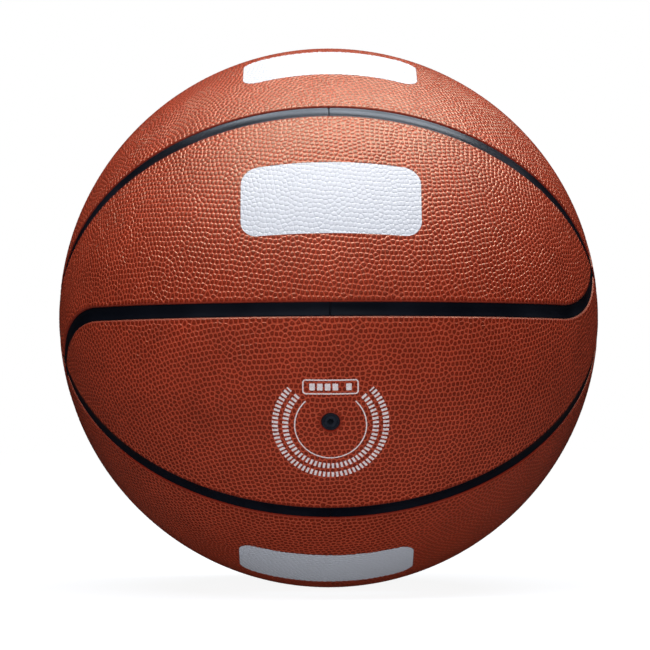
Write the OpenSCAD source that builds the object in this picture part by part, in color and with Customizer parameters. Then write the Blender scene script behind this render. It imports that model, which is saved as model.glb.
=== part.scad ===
/* [Ball] */
// Outside diameter over the cover panels
ball_d = 240.6; // [236:0.1:246]

/* [Seams] */
// Angle from the middle of the ball at which the wandering seam turns aside
curl_start = 57.5; // [54:0.5:61]
// Angle of the slight corner with which the seam turns aside
curl_bend = 3; // [2.5:0.5:4]
// Width of a channel rib
rib_w = 5.8; // [4.5:0.1:7.5]
// Depth of a rib's crown below the cover
rib_drop = 0.8; // [0.5:0.05:1]
// Gap at the joint where the two rib frames meet
rib_joint = 0.15; // [0.05:0.05:0.3]

/* [Cover] */
// Thickness of a cover panel
cover_wall = 1.4; // [1.2:0.05:2]
// Radius of a panel's edge where it rolls down to the rib
edge_r = 1.1; // [0.8:0.05:1.5]
// Glue line between one layer and the next
glue_line = 0.05; // [0.02:0.01:0.1]

/* [Inner layers] */
// Thickness of the sponge rubber carcass
carcass_wall = 1.8; // [1.2:0.1:3]
// Thickness of the nylon thread winding
winding_wall = 0.5; // [0.3:0.05:1]
// Thickness of the butyl bladder
bladder_wall = 0.9; // [0.6:0.05:1.4]

/* [Valve] */
// Angle of the valve below the middle of the front
valve_angle = 22.8; // [19:0.1:26]
// Diameter of the valve stem that shows in the cover
stem_d = 7.6; // [7.2:0.1:9]
// Bevel round the stem's face
stem_bevel = 0.3; // [0.1:0.05:0.5]
// Gap round the stem in the layers that it passes through
stem_gap = 0.1; // [0.05:0.05:0.2]
// Bevel round the stem's hole in the cover
hole_bevel = 0.35; // [0.2:0.05:0.5]
// Depth of the valve's face below the cover
face_drop = 0.4; // [0.2:0.05:0.6]
// Length of the valve body from its face
body_h = 15; // [14:0.5:20]
// Diameter of the valve body inside the bladder
boss_d = 10; // [9.2:0.2:13]
// Bevel round the inner end of the valve body
boss_bevel = 0.8; // [0.4:0.1:1.2]
// Diameter of the flange bonded inside the bladder
flange_d = 28; // [22:1:36]
// Thickness of the flange at the valve body
flange_wall = 1.2; // [1:0.1:1.8]
// Thickness of the flange at its rim
flange_rim = 0.4; // [0.3:0.05:0.6]
// Diameter of the plug's head
head_d = 5.4; // [5.2:0.1:6]
// Thickness of the plug's head
head_h = 2.2; // [1.6:0.1:3]
// Diameter of the plug's neck
neck_d = 4; // [3.8:0.1:4.6]
// Diameter of the plug's bulb
bulb_d = 5.6; // [5:0.1:6.4]
// Length of the plug's bulb
bulb_h = 4; // [3:0.1:5]
// Bevel that leads the bulb in as the plug is pushed home
bulb_bevel = 0.7; // [0.4:0.1:1]
// Gap round the plug in the valve body
plug_gap = 0.05; // [0.02:0.01:0.1]
// Diameter of the pilot hole for an inflating needle
pilot_d = 2.3; // [2.2:0.05:2.6]
// Depth of the pilot hole below its lead-in
pilot_h = 9; // [7:0.5:9.5]
// Lead-in round the mouth of the pilot hole
pilot_bevel = 0.3; // [0.1:0.05:0.5]
// Width of the slit that a needle spreads
slit_w = 2.4; // [2:0.1:3]
// Gap of the slit in the closed plug
slit_gap = 0.12; // [0.08:0.02:0.2]

/* [Hidden] */
$fn = 96;

cover_color = "#a4472c";
rib_color = "#17181c";
carcass_color = "#3b3733";
winding_color = "#e6e0d2";
bladder_color = "#2a2a2e";
valve_color = "#1c1e24";
plug_color = "#111216";

// Overrun of every cut
cut = 1;
// Share of the edge radius by which its centre lies below the cover's surface. Along the curls the
// edge sits a little higher, so that no more than three faces meet at a corner.
edge_seat_share = 0.94;
curl_seat_share = 0.9;

// Radii of the layers, from the outside in
ball_r = ball_d/2;
cover_in_r = ball_r - cover_wall;
rib_r = ball_r - rib_drop;
carcass_r = cover_in_r - glue_line;
carcass_in_r = carcass_r - carcass_wall;
winding_r = carcass_in_r - glue_line;
winding_in_r = winding_r - winding_wall;
bladder_r = winding_in_r - glue_line;
bladder_in_r = bladder_r - bladder_wall;
flange_r = bladder_in_r - glue_line;
// A size that reaches past the ball from its centre
reach = ball_d;

// The wandering seam runs along the middle of a quarter of the ball as far as curl_start. There it
// turns aside on a circle of the ball, and it meets the straight seam beside that quarter squarely.
// From the ball's centre that circle is seen as a cone of this half angle about an axis of its own.
curl_cone = atan(cos(curl_start)/(cos(curl_bend) - sin(curl_bend)*sin(curl_start)));
// Before its start the circle dips across the line of the straight part. These are the angles back
// to the middle of the dip, counted round the ball and round the circle's axis.
dip_back = curl_bend*tan(curl_cone);
dip_turn = curl_bend/cos(curl_cone);
// Angle by which one cut laps past the next
lap_turn = 4*dip_turn;
// Half the width of the space that a channel leaves between two panels
channel_half = rib_w/2 + glue_line;

// Diameter of the stem's hole in the layers
hole_d = stem_d + 2*stem_gap;
// Heights along the valve's axis, from the centre of the ball
face_z = ball_r - face_drop;
body_z = face_z - body_h;
neck_z = face_z - head_h;
pilot_z = face_z - pilot_bevel - pilot_h;
// Height of the flange's under side at the valve body and at its rim
flange_z = flange_r - flange_wall;
rim_z = sqrt(pow(flange_r - flange_rim, 2) - pow(flange_d/2, 2));

// A hollow sphere
module shell(outer_r, inner_r) {
  difference() {
    sphere(r = outer_r);
    sphere(r = inner_r);
  }
}

// The front quarter of all space, between the planes of the two straight seams
module front_quarter() {
  rotate([135, 0, 0])
    translate([-reach, 0, 0])
      cube([2*reach, reach, reach]);
}

// Sections of an edge are drawn with the distance from the ball's centre along x and the distance
// from the middle of the seam along y, and they cover what lies between the seam and the panel.

// The edge of a panel, rolled down to the rib
module rolled_edge(seat_share) {
  edge_x = ball_r - edge_r*seat_share;
  edge_y = channel_half + edge_r;
  difference() {
    translate([cover_in_r - cut, -cut])
      square([cover_wall + 2*cut, edge_y + cut]);
    translate([edge_x, edge_y])
      circle(r = edge_r);
    translate([cover_in_r - 2*cut, channel_half])
      square([edge_x - cover_in_r + 2*cut, edge_r + cut]);
  }
}

// The edge of a rib
module rib_edge() {
  translate([cover_in_r - 2*cut, -cut])
    square([cover_wall + 4*cut, rib_w/2 + cut]);
}

// Turn the z axis to the axis of the right curl of the front quarter, with x towards its start
module on_curl_axis() {
  rotate([0, 0, curl_start - 90])
    rotate([curl_bend, 0, 0])
      rotate([0, 90 - curl_cone, 0])
        children();
}

// The space below the straight part of the wandering seam, up to the given edge
module below_middle() {
  rotate([0, 0, dip_back - curl_start - 90])
    rotate_extrude(angle = 2*curl_start + lap_turn) {
      children();
      translate([0, -reach]) square([reach, reach]);
    }
}

// The space past the start of the right curl and outside its circle, up to the given edge
module outside_curl() {
  on_curl_axis()
    rotate([0, 0, -dip_turn])
      rotate_extrude(angle = 180)
        rotate(90 - curl_cone) {
          children();
          translate([0, -reach]) square([reach, reach]);
        }
}

// The space past the start of the right curl and inside its circle, up to the given edge
module inside_curl() {
  on_curl_axis()
    rotate([0, 0, -lap_turn])
      rotate_extrude(angle = 180 + lap_turn) {
        rotate(90 - curl_cone) mirror([0, 1]) children();
        polygon([[0, 0], [0, reach], [reach*tan(curl_cone), reach]]);
      }
}

// The other half of the front quarter is the same, turned half round the middle of the quarter
module opposite() {
  rotate([0, 180, 0]) children();
}

// The quarters are, in order, the front, top, back and bottom one. Neighbours mirror each other in
// the plane of the straight seam between them.
module in_quarter(quarter) {
  if (quarter == 0) children();
  if (quarter == 1) mirror([0, 1, 1]) children();
  if (quarter == 2) rotate([180, 0, 0]) children();
  if (quarter == 3) mirror([0, 1, -1]) children();
}

// The fields of the eight panels, counted from 0 at the upper front
module in_field(field) {
  in_quarter(floor(field/2)) {
    if (field % 2 == 0) children();
    if (field % 2 == 1) opposite() children();
  }
}

// A plate that fills one panel's field, shaped as the upper one at the front. The first child is the
// edge's section along the straight parts of the seams, and the second one along the curls.
module plate(outer_r, inner_r) {
  difference() {
    difference() {
      difference() {
        difference() {
          difference() {
            intersection() {
              shell(outer_r, inner_r);
              front_quarter();
            }
            below_middle() children(0);
          }
          outside_curl() children(1);
        }
        opposite() inside_curl() children(1);
      }
      rotate([-45, 0, 0]) rotate_extrude() mirror([0, 1]) children(0);
    }
    rotate([45, 0, 0]) rotate_extrude() children(0);
  }
}

// One of the eight cover panels
module panel() {
  plate(ball_r, cover_in_r) {
    rolled_edge(edge_seat_share);
    rolled_edge(curl_seat_share);
  }
}

// The seat of a panel between the ribs, cut through their layer
module seat() {
  plate(rib_r + cut, cover_in_r - cut) {
    rib_edge();
    rib_edge();
  }
}

// The layer of the ribs, with seats cut in so many of the eight fields
module rib_layer(seats) {
  if (seats == 0)
    shell(rib_r, cover_in_r);
  else
    difference() {
      rib_layer(seats - 1);
      in_field(seats - 1) seat();
    }
}

// The ribs of the right half of the ball are what stands between all the seats
module rib_frame() {
  intersection() {
    rib_layer(8);
    translate([rib_joint/2, -reach, -reach])
      cube([reach, 2*reach, 2*reach]);
  }
}

// Turn the z axis to the axis of the valve
module on_valve_axis() {
  rotate([90 + valve_angle, 0, 0]) children();
}

// The hole for the stem through the layers of the ball
module stem_hole() {
  on_valve_axis()
    translate([0, 0, bladder_in_r - cut])
      cylinder(h = ball_r - bladder_in_r + 2*cut, d = hole_d);
}

module panel_front_upper() {
  color(cover_color) in_field(0) panel();
}

// This panel carries the valve
module panel_front_lower() {
  color(cover_color) difference() {
    difference() {
      in_field(1) panel();
      stem_hole();
    }
    on_valve_axis()
      translate([0, 0, ball_r - hole_bevel])
        cylinder(h = 2*hole_bevel, d1 = hole_d, d2 = hole_d + 4*hole_bevel);
  }
}

module panel_top_front() {
  color(cover_color) in_field(2) panel();
}

module panel_top_back() {
  color(cover_color) in_field(3) panel();
}

module panel_back_upper() {
  color(cover_color) in_field(5) panel();
}

module panel_back_lower() {
  color(cover_color) in_field(4) panel();
}

module panel_bottom_front() {
  color(cover_color) in_field(7) panel();
}

module panel_bottom_back() {
  color(cover_color) in_field(6) panel();
}

module rib_frame_right() {
  color(rib_color) rib_frame();
}

// The left frame is the right one mirrored and given a quarter turn
module rib_frame_left() {
  color(rib_color)
    mirror([1, 0, 0])
      rotate([90, 0, 0])
        rib_frame();
}

module carcass() {
  color(carcass_color) difference() {
    shell(carcass_r, carcass_in_r);
    stem_hole();
  }
}

module winding() {
  color(winding_color) difference() {
    shell(winding_r, winding_in_r);
    stem_hole();
  }
}

module bladder() {
  color(bladder_color) difference() {
    shell(bladder_r, bladder_in_r);
    stem_hole();
  }
}

// Section of the flange, which lies against the bladder and thins to its rim
module flange_section() {
  intersection() {
    circle(r = flange_r, $fn = 360);
    polygon([[0, flange_z], [boss_d/2, flange_z], [flange_d/2, rim_z], [flange_d/2, ball_r],
      [0, ball_r]]);
  }
}

// Section of the space for the plug, with a gap all round it
module plug_space() {
  translate([0, neck_z - plug_gap])
    square([head_d/2 + plug_gap, head_h + plug_gap + cut]);
  translate([0, body_z - cut])
    square([neck_d/2 + plug_gap, body_h]);
  translate([0, body_z - cut])
    square([bulb_d/2 + plug_gap, bulb_h + plug_gap + cut]);
}

module valve_body() {
  color(valve_color)
    on_valve_axis()
      rotate_extrude()
        difference() {
          union() {
            flange_section();
            polygon([[0, body_z], [boss_d/2 - boss_bevel, body_z],
              [boss_d/2, body_z + boss_bevel], [boss_d/2, flange_z + flange_rim],
              [0, flange_z + flange_rim]]);
            polygon([[0, body_z], [stem_d/2, body_z], [stem_d/2, face_z - stem_bevel],
              [stem_d/2 - stem_bevel, face_z], [0, face_z]]);
          }
          plug_space();
        }
}

// The plug closes itself: below the pilot hole it is only slit, and a needle spreads the slit
module valve_plug() {
  color(plug_color)
    on_valve_axis()
      difference() {
        rotate_extrude()
          difference() {
            union() {
              translate([0, neck_z]) square([head_d/2, head_h]);
              translate([0, body_z]) square([neck_d/2, body_h - head_h/2]);
              polygon([[0, body_z], [bulb_d/2 - bulb_bevel, body_z],
                [bulb_d/2, body_z + bulb_bevel], [bulb_d/2, body_z + bulb_h],
                [0, body_z + bulb_h]]);
            }
            translate([0, pilot_z]) square([pilot_d/2, body_h]);
            polygon([[0, face_z + pilot_bevel], [pilot_d/2 + 2*pilot_bevel, face_z + pilot_bevel],
              [pilot_d/2, face_z - pilot_bevel], [0, face_z - pilot_bevel]]);
          }
        translate([-slit_w/2, -slit_gap/2, body_z - cut])
          cube([slit_w, slit_gap, pilot_z - body_z + 2*cut]);
      }
}

panel_front_upper();
panel_front_lower();
panel_top_front();
panel_top_back();
panel_back_upper();
panel_back_lower();
panel_bottom_front();
panel_bottom_back();
rib_frame_right();
rib_frame_left();
carcass();
winding();
bladder();
valve_body();
valve_plug();
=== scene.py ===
"""Looks of a full-size basketball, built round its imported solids.

The ball's centre is the origin, +X runs along the line on which the straight seams cross, -Y faces
the camera and +Z is up. The upper front panel is the pattern for all eight: each other panel is
that one, turned or mirrored. Lengths are in metres.
"""

import logging
import math
from collections.abc import Sequence
from dataclasses import dataclass, field
from enum import Enum

import bpy
import numpy as np
from mathutils import Matrix, Vector
from mathutils.geometry import delaunay_2d_cdt
from mathutils.kdtree import KDTree


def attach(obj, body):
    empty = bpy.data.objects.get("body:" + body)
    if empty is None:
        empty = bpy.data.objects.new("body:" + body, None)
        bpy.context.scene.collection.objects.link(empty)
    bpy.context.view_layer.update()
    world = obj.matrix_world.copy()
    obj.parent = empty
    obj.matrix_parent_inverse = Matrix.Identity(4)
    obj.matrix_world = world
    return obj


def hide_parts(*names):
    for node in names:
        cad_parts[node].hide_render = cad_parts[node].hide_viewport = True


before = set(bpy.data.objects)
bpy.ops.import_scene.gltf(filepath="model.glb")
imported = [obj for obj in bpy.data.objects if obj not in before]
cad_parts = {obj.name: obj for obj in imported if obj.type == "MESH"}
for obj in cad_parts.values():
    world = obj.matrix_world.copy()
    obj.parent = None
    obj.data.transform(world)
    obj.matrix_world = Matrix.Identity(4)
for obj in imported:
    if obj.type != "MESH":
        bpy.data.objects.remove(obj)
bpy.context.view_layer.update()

MM = 0.001
TURN = 2 * math.pi
SEAM_COUNT = 3
VALVE_TILT = math.radians(22.8)
RIGHT = np.array([1.0, 0.0, 0.0])
UP = np.array([0.0, 0.0, 1.0])
BAKE_MAP = "OFBake"
MAP_ROOM = 1.01
MAP_MARGIN = 0.004
MAP_HIDDEN = 0.26
MAP_CORNER = (0.02, 0.72)
BODY = "root"
BLACK = (0.0, 0.0, 0.0)
WHITE = (1.0, 1.0, 1.0)

log = logging.getLogger("basketball")

Array = np.ndarray
Gap = tuple[Array, Array]
Pair = tuple[float, float]
Triple = tuple[float, float, float]
Colour = Triple
Inputs = dict[str, object]
Material = bpy.types.Material
Mesh = bpy.types.Mesh
Node = bpy.types.Node
Object = bpy.types.Object
Socket = bpy.types.NodeSocket
Sockets = Sequence[tuple[str, str]]
Tree = bpy.types.NodeTree


def unit(vectors: Array) -> Array:
    """Returns the vectors at length 1."""
    return vectors / np.linalg.norm(vectors, axis=-1, keepdims=True)


def step(points: Array, toward: Array, angle: Array) -> Array:
    """Moves points along the unit ball.

    Args:
        points: Unit vectors.
        toward: The unit tangent to follow at each point.
        angle: How far to go, in radians.

    Returns:
        The moved unit vectors.
    """
    angle = np.asarray(angle)[:, None]
    return np.cos(angle) * points + np.sin(angle) * toward


def spiral(count: int) -> Array:
    """Spreads points evenly over the unit ball along a spiral."""
    number = np.arange(count)
    height = 1 - (number + 0.5) * 2 / count
    swing = np.sqrt(1 - height**2)
    angle = number * math.pi * (3 - math.sqrt(5))
    return np.column_stack([swing * np.cos(angle), swing * np.sin(angle), height])


def random_turn(random: np.random.Generator) -> Array:
    """A rotation matrix drawn by chance."""
    turn, upper = np.linalg.qr(random.normal(size=(3, 3)))
    turn = turn * np.sign(np.diag(upper))
    return turn * np.linalg.det(turn)


def plain_mesh(name: str, points: Array, faces: Array) -> Mesh:
    """Makes a smooth mesh of triangles.

    Args:
        name: The mesh's name.
        points: One row of x, y, z for each vertex.
        faces: One row of three vertex numbers for each triangle, counter-clockwise from outside.

    Returns:
        The mesh.
    """
    mesh = bpy.data.meshes.new(name)
    mesh.vertices.add(len(points))
    mesh.vertices.foreach_set("co", np.ascontiguousarray(points, np.float32).ravel())
    mesh.loops.add(3 * len(faces))
    mesh.loops.foreach_set("vertex_index", np.ascontiguousarray(faces, np.int32).ravel())
    mesh.polygons.add(len(faces))
    mesh.polygons.foreach_set("loop_start", np.arange(0, 3 * len(faces), 3, dtype=np.int32))
    mesh.update(calc_edges=True)
    mesh.validate()
    mesh.polygons.foreach_set("use_smooth", np.ones(len(mesh.polygons), bool))
    return mesh


def as_object(mesh: Mesh) -> Object:
    """Puts a mesh in the scene under its own name."""
    made = bpy.data.objects.new(mesh.name, mesh)
    bpy.context.scene.collection.objects.link(made)
    return made


def plain_piece(name: str, points: Array, faces: Array, material: Material) -> Object:
    """Makes a piece of smooth triangles in one material."""
    mesh = plain_mesh(name, points, faces)
    mesh.materials.append(material)
    return as_object(mesh)


# ---------------------------------------------------------------------------------------------
# Where the seams run
# ---------------------------------------------------------------------------------------------


@dataclass(frozen=True)
class SeamPlan:
    """The seams as the solids have them, seen from the ball's centre.

    Each method that measures a gap returns, for each unit vector, the distance to the seam in
    metres, positive on the upper front panel's side, and the unit tangent that leads to that side.
    """

    ball_r: float = 120.3 * MM
    curl_start: float = math.radians(57.5)
    curl_bend: float = math.radians(3.0)
    channel_half: float = 2.95 * MM

    @property
    def curl_cone(self) -> float:
        """Half angle of the cone under which a curl is seen."""
        start, bend = self.curl_start, self.curl_bend
        return math.atan(math.cos(start) / (math.cos(bend) - math.sin(bend) * math.sin(start)))

    @property
    def dip_back(self) -> float:
        """Angle from a curl's start back to the lowest point of its circle."""
        return self.curl_bend * math.tan(self.curl_cone)

    @property
    def curl_axis(self) -> Array:
        """Axis of the right curl in the front quarter."""
        cone, bend, turn = self.curl_cone, self.curl_bend, self.curl_start - math.pi / 2
        x = math.cos(cone)
        y = -math.sin(bend) * math.sin(cone)
        z = math.cos(bend) * math.sin(cone)
        east, north = math.cos(turn), math.sin(turn)
        return np.array([x * east - y * north, x * north + y * east, z])

    def from_plane(self, points: Array, normal: Array) -> Gap:
        """Gap to the great circle in the plane with this normal."""
        height = points @ normal
        toward = unit(normal - height[:, None] * points)
        return self.ball_r * np.arcsin(height.clip(-1, 1)), toward

    def inside_circle(self, points: Array, axis: Array, cone: float) -> Gap:
        """Gap to a circle of the ball, positive inside it."""
        height = points @ axis
        toward = unit(axis - height[:, None] * points)
        return self.ball_r * (cone - np.arccos(height.clip(-1, 1))), toward

    def upper_seam(self, points: Array) -> Gap:
        """Gap to the straight seam above the front quarter."""
        return self.from_plane(points, unit(np.array([0.0, -1.0, -1.0])))

    def lower_seam(self, points: Array) -> Gap:
        """Gap to the straight seam below the front quarter."""
        return self.from_plane(points, unit(np.array([0.0, -1.0, 1.0])))

    def wandering_seam(self, points: Array) -> Gap:
        """Gap to the seam that runs along the middle of the front quarter and curls at its ends."""
        gap, toward = self.from_plane(points, UP)
        turn = np.arctan2(points[:, 0], -points[:, 1])
        start = self.curl_start - self.dip_back
        right, to_right = self.inside_circle(points, self.curl_axis, self.curl_cone)
        use = (turn > start) & (right < gap)
        gap, toward = np.where(use, right, gap), np.where(use[:, None], to_right, toward)
        opposite = self.curl_axis * (-1, 1, -1)
        left, to_left = self.inside_circle(points, opposite, self.curl_cone)
        use = (turn < -start) & (-left > gap)
        return np.where(use, -left, gap), np.where(use[:, None], -to_left, toward)

    def nearest_seam(self, points: Array) -> Array:
        """Distance from each point of the whole ball to the nearest seam."""
        x, y, z = points.T
        front = np.column_stack([x, y, z])
        front = np.where((z >= np.abs(y))[:, None], np.column_stack([x, -z, -y]), front)
        front = np.where((y >= np.abs(z))[:, None], np.column_stack([x, -y, -z]), front)
        front = np.where((-z >= np.abs(y))[:, None], np.column_stack([x, z, y]), front)
        gaps = (self.upper_seam(front), self.lower_seam(front), self.wandering_seam(front))
        return np.min([np.abs(gap) for gap, _ in gaps], axis=0)


SEAMS = SeamPlan()


class Quarter(Enum):
    """The four quarters between the straight seams, by the matrix that takes the front one there."""

    FRONT = ((1, 0, 0), (0, 1, 0), (0, 0, 1))
    TOP = ((1, 0, 0), (0, 0, -1), (0, -1, 0))
    BACK = ((1, 0, 0), (0, -1, 0), (0, 0, -1))
    BOTTOM = ((1, 0, 0), (0, 0, 1), (0, 1, 0))

    @property
    def matrix(self) -> Array:
        """The quarter's matrix as numbers."""
        return np.array(self.value, float)


@dataclass(frozen=True)
class FlatMap:
    """A map of the ball round one direction that keeps circles round."""

    centre: Array

    def flat(self, points: Array) -> Array:
        """Returns the map's x and y of each unit vector."""
        east = unit(np.cross(UP, self.centre))
        north = np.cross(self.centre, east)
        scale = 2.0 / (1.0 + points @ self.centre)
        return np.column_stack([points @ east * scale, points @ north * scale])

    def triangles(self, points: Array, edges: Array | None = None) -> Array:
        """Joins points by the triangles that hold no other point.

        Args:
            points: Unit vectors.
            edges: Pairs of point numbers that must be joined.

        Returns:
            Rows of three point numbers, counter-clockwise from outside.
        """
        flat = self.flat(points)
        wanted = [] if edges is None else [tuple(map(int, e)) for e in edges]
        made = delaunay_2d_cdt([Vector(p) for p in flat], wanted, [], 0, 1e-9)
        source = np.array([origin[0] if origin else -1 for origin in made[3]])
        faces = source[np.array([face for face in made[2] if len(face) == 3])]
        faces = faces[(faces >= 0).all(1)]
        a, b, c = (flat[faces[:, i]] for i in range(3))
        turn = (b[:, 0] - a[:, 0]) * (c[:, 1] - a[:, 1]) - (b[:, 1] - a[:, 1]) * (c[:, 0] - a[:, 0])
        faces[turn < 0] = faces[turn < 0][:, ::-1]
        return faces[np.abs(turn) > 1e-14]


# ---------------------------------------------------------------------------------------------
# Nodes
# ---------------------------------------------------------------------------------------------


@dataclass(frozen=True)
class Value:
    """An output of a node that can stand in a sum. Each step of the sum adds a Math node."""

    sheet: "NodeSheet"
    socket: Socket

    def __add__(self, other: object) -> "Value":
        """Adds the other one."""
        return self.sheet.math("ADD", self, other)

    def __sub__(self, other: object) -> "Value":
        """Takes the other one away."""
        return self.sheet.math("SUBTRACT", self, other)

    def __rsub__(self, other: object) -> "Value":
        """Takes this one away from a number."""
        return self.sheet.math("SUBTRACT", other, self)

    def __mul__(self, other: object) -> "Value":
        """Multiplies by the other one."""
        return self.sheet.math("MULTIPLY", self, other)

    def __truediv__(self, other: object) -> "Value":
        """Divides by the other one."""
        return self.sheet.math("DIVIDE", self, other)

    def __abs__(self) -> "Value":
        """Drops the sign."""
        return self.sheet.math("ABSOLUTE", self)

    def most(self, other: object) -> "Value":
        """Returns the greater of the two."""
        return self.sheet.math("MAXIMUM", self, other)

    def least(self, other: object) -> "Value":
        """Returns the smaller of the two."""
        return self.sheet.math("MINIMUM", self, other)


class NodeSheet:
    """Adds nodes to a tree and joins them."""

    def __init__(self, tree: Tree) -> None:
        """Starts on an empty tree."""
        self.tree = tree
        tree.nodes.clear()

    def feed(self, socket: Socket, value: object) -> None:
        """Links a socket to an output, or sets it to a plain value. A colour gets its alpha."""
        if isinstance(value, Value):
            self.tree.links.new(value.socket, socket)
        elif value is not None:
            socket.default_value = (*value, 1.0) if socket.type == "RGBA" else value

    def add(self, kind: str, inputs: Inputs | None = None, **settings: object) -> Node:
        """Adds a node.

        Args:
            kind: Its Blender type.
            inputs: Values or outputs for its sockets, by name.
            settings: Values for its own properties.

        Returns:
            The node.
        """
        node = self.tree.nodes.new(kind)
        for name, value in settings.items():
            setattr(node, name, value)
        for name, value in (inputs or {}).items():
            self.feed(self.named(node.inputs, name), value)
        return node

    @staticmethod
    def named(sockets: Sequence[Socket], name: str) -> Socket:
        """Finds the socket in use that has this name."""
        return next(s for s in sockets if s.enabled and s.name == name)

    def read(self, output: str, kind: str, inputs: Inputs | None = None, **settings: object) -> Value:
        """Adds a node and returns one of its outputs.

        Args:
            output: The output's name.
            kind: The node's Blender type.
            inputs: Values or outputs for its sockets, by name.
            settings: Values for its own properties.

        Returns:
            The output.
        """
        node = self.add(kind, inputs, **settings)
        return Value(self, self.named(node.outputs, output))

    def math(self, operation: str, *values: object) -> Value:
        """Adds a Math node and returns its result."""
        return self.worked_out("ShaderNodeMath", operation, values)

    def vector(self, operation: str, *values: object) -> Value:
        """Adds a Vector Math node and returns its result."""
        return self.worked_out("ShaderNodeVectorMath", operation, values)

    def worked_out(self, kind: str, operation: str, values: Sequence[object]) -> Value:
        """Adds a node that does an operation on its first inputs, and returns its result."""
        node = self.add(kind, operation=operation)
        for socket, value in zip((s for s in node.inputs if s.enabled), values, strict=False):
            self.feed(socket, value)
        return Value(self, next(s for s in node.outputs if s.enabled))

    def smooth(self, value: object, low: object, high: object) -> Value:
        """Goes smoothly from 0 at low to 1 at high."""
        inputs = {"Value": value, "From Min": low, "From Max": high, "To Min": 0.0, "To Max": 1.0}
        return self.read("Result", "ShaderNodeMapRange", inputs, interpolation_type="SMOOTHSTEP")

    def between(self, value: object, low: object, high: object) -> Value:
        """Takes a value from 0 to 1 to the span from low to high."""
        return self.read("Result", "ShaderNodeMapRange", {"Value": value, "To Min": low, "To Max": high})

    def inside(self, gap: Value, soft: Value) -> Value:
        """Is 1 where a gap lies below 0, with a soft edge."""
        return 1.0 - self.smooth(gap, soft * -1.0, soft)

    def length(self, x: Value, y: Value) -> Value:
        """Returns the length of the arrow (x, y)."""
        return self.math("SQRT", x * x + y * y)

    def mix(self, share: object, first: object, second: object) -> Value:
        """Mixes two colours."""
        inputs = {"Factor": share, "A": first, "B": second}
        return self.read("Result", "ShaderNodeMix", inputs, data_type="RGBA")

    def noise(self, place: object, scale: object, detail: float = 3.0, roughness: float = 0.55) -> Value:
        """Adds a Noise Texture and returns its value."""
        inputs = {"Vector": place, "Scale": scale, "Detail": detail, "Roughness": roughness}
        return self.read("Fac", "ShaderNodeTexNoise", inputs)

    def bump(self, strength: float, distance: float, height: Value, normal: Value | None = None) -> Value:
        """Adds a Bump node and returns its normal."""
        inputs = {"Strength": strength, "Distance": distance, "Height": height, "Normal": normal}
        return self.read("Normal", "ShaderNodeBump", inputs)

    def parts(self, arrow: Value) -> tuple[Value, ...]:
        """Takes a vector apart."""
        node = self.add("ShaderNodeSeparateXYZ", {"Vector": arrow})
        return tuple(Value(self, node.outputs[name]) for name in "XYZ")

    def place(self) -> Value:
        """Returns the place on the object."""
        return self.read("Object", "ShaderNodeTexCoord")

    def ray(self, kind: str) -> Value:
        """Is 1 for rays of this kind."""
        return self.read(f"Is {kind} Ray", "ShaderNodeLightPath")

    def group(self, tree: Tree, inputs: Inputs) -> dict[str, Value]:
        """Places a node group, fills its inputs and returns its outputs by name."""
        node = self.add("ShaderNodeGroup", node_tree=tree)
        for name, value in inputs.items():
            self.feed(node.inputs[name], value)
        return {s.name: Value(self, s) for s in node.outputs}


class GroupSheet(NodeSheet):
    """A new node group with named sockets. Its inputs stand in the dictionary at."""

    def __init__(self, name: str, takes: Sockets, gives: Sockets, kind: str = "ShaderNodeTree") -> None:
        """Makes the empty group.

        Args:
            name: The group's name.
            takes: Name and type of each input.
            gives: Name and type of each output.
            kind: Shader or geometry tree.
        """
        tree = bpy.data.node_groups.new(name, kind)
        for sockets, side in ((takes, "INPUT"), (gives, "OUTPUT")):
            for socket, form in sockets:
                tree.interface.new_socket(name=socket, in_out=side, socket_type=f"NodeSocket{form}")
        super().__init__(tree)
        source = tree.nodes.new("NodeGroupInput")
        self.sink = tree.nodes.new("NodeGroupOutput")
        self.at = {s.name: Value(self, s) for s in source.outputs if s.name}

    def give(self, name: str, value: Value) -> None:
        """Puts a value out."""
        self.feed(self.sink.inputs[name], value)


class MaterialSheet(NodeSheet):
    """A new material with a Principled BSDF."""

    def __init__(self, name: str) -> None:
        """Makes the plain material."""
        self.material = bpy.data.materials.new(name)
        self.material.use_nodes = True
        super().__init__(self.material.node_tree)
        self.shader = self.add("ShaderNodeBsdfPrincipled")
        self.add("ShaderNodeOutputMaterial", {"Surface": Value(self, self.shader.outputs[0])})

    def shade(self, inputs: Inputs) -> Material:
        """Feeds the shader's inputs and returns the finished material."""
        for name, value in inputs.items():
            self.feed(self.shader.inputs[name], value)
        return self.material


def floats(*names: str) -> Sockets:
    """Describes sockets for plain numbers."""
    return [(name, "Float") for name in names]


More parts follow.
